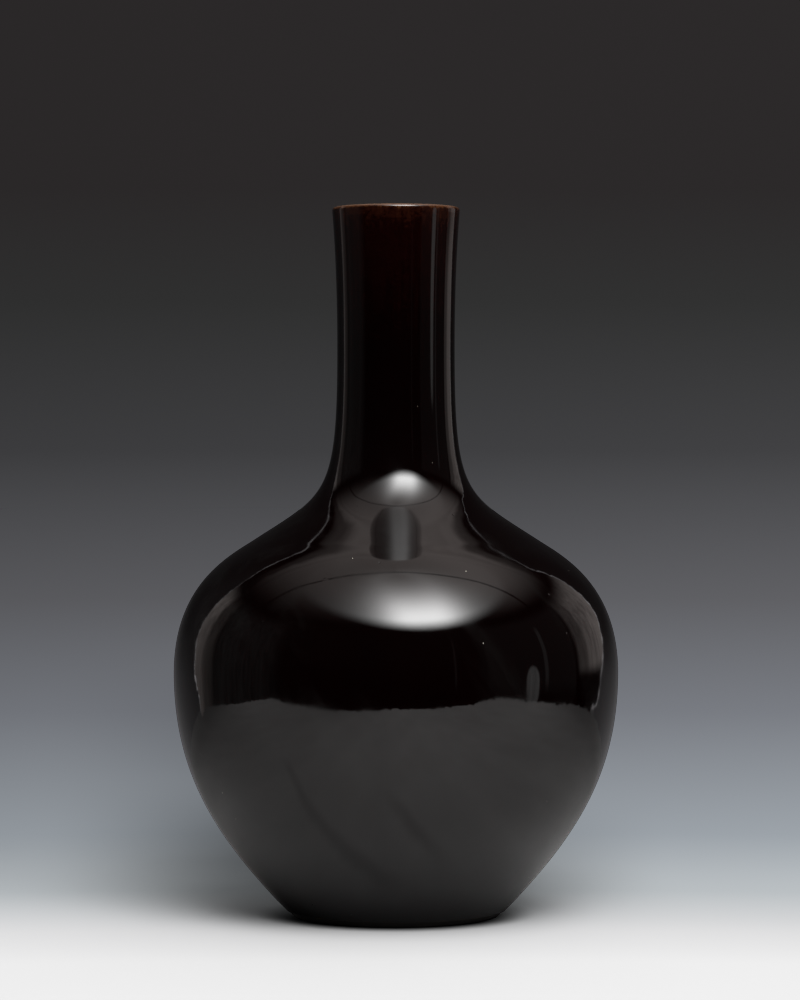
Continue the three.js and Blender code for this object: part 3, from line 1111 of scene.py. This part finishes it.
def dark_room(sky):
    """The dark room in front: a dim panel at each side, two thin stands, a hanging cloth and a faint haze."""
    left_foot = sky.elevation.rise(*LOW_SIDES) * sky.elevation.rise(*LEFT_PANEL_FOOT)
    left_tone = sky.streaks * LEFT_PANEL_STREAKS + LEFT_PANEL_TONE
    left_panel = sky.azimuth.inside(*LEFT_PANEL) * left_foot * left_tone
    right_panel = bands(sky.azimuth, RIGHT_PANEL) * sky.elevation.inside(*RIGHT_PANEL_HEIGHT)
    stands = bands(sky.azimuth, *STANDS) * sky.elevation.inside(*STAND_HEIGHT)
    cloth_aside = (sky.azimuth - CLOTH_AZIMUTH) / CLOTH_HALF_WIDTH
    cloth_up = (sky.elevation - CLOTH_ELEVATION) / CLOTH_HALF_HEIGHT
    from_middle = cloth_aside * cloth_aside + cloth_up * cloth_up
    cloth = from_middle.rise(*CLOTH_EDGE) * (sky.streaks * CLOTH_STREAKS + CLOTH_TONE)
    return left_panel + right_panel + stands + cloth + bands(sky.elevation, ROOM)


def studio_light(tree, direction):
    """The colour of the studio in each direction, as it lights the vase and as the glaze mirrors it."""
    sky = Sky(tree, direction)
    outwards = past_paper(sky)
    in_front = outwards.rise(*PAPER_END)
    glow = graded(sky.elevation, *PAPER_GLOW) * sky.elevation.rise(*PAPER_GLOW_FOOT)
    warm = (cloth_roof(sky, outwards) + curtains(sky)) * in_front
    neutral = (soft_light(sky) + dark_room(sky)) * in_front + glow * (1 - in_front)
    colour = tree.nodes.new("ShaderNodeCombineColor")
    for socket, tint in zip(colour.inputs, WARM_TINT):
        feed(tree, neutral + warm * tint, socket)
    return colour.outputs[0]


def backdrop(tree, direction):
    """The graded backdrop behind the vase: pale at the floor, through blue-grey, to near black above, and a
    little lighter to the right."""
    x, _, z = split(tree, direction)
    elevation = z.math("ARCSINE") / DEGREE
    share = (elevation - BACKDROP_LOW) / BACKDROP_SPAN
    to_right = x.math("MAXIMUM", -BACKDROP_REACH).math("MINIMUM", BACKDROP_REACH)
    # Painted light: the backdrop is a little lighter to the right, where more light falls
    lift = to_right * elevation.rise(*LIFT_START) * graded(elevation, *LIFT_TO_RIGHT) + 1
    scaled = tree.nodes.new("ShaderNodeVectorMath")
    scaled.operation = "SCALE"
    tree.links.new(ramp(tree, share, BACKDROP_STOPS), scaled.inputs[0])
    feed(tree, lift, scaled.inputs["Scale"])
    return scaled.outputs[0]


def make_world():
    """The sky: the studio for light and mirror images, and the backdrop for what the camera sees directly."""
    world = bpy.data.worlds.new("studio")
    bpy.context.scene.world = world
    world.use_nodes = True
    tree = world.node_tree
    shader = tree.nodes["Background"]
    direction = tree.nodes.new("ShaderNodeTexCoord").outputs["Generated"]
    seen = tree.nodes.new("ShaderNodeLightPath").outputs["Is Camera Ray"]
    colour = blend(tree, Field(tree, seen), studio_light(tree, direction), backdrop(tree, direction))
    tree.links.new(colour, shader.inputs["Color"])


def make_camera():
    """The camera, level with the shoulder and looking very slightly down."""
    lens = bpy.data.cameras.new("camera")
    lens.sensor_width = SENSOR
    lens.lens = SENSOR * FOCAL_PIXELS / PICTURE_HEIGHT
    camera = bpy.data.objects.new("camera", lens)
    camera.location = (CAMERA_ASIDE, -CAMERA_DISTANCE, CAMERA_HEIGHT)
    tilt = math.atan((PICTURE_HEIGHT / 2 - HORIZON_ROW) / FOCAL_PIXELS)
    camera.rotation_euler = (math.pi / 2 - tilt, 0, 0)
    bpy.context.scene.collection.objects.link(camera)
    bpy.context.scene.camera = camera


make_floor()
make_far_shadow()
make_table()
make_paper()
make_fill()
make_world()
make_camera()
bpy.context.scene.view_settings.view_transform = "Standard"
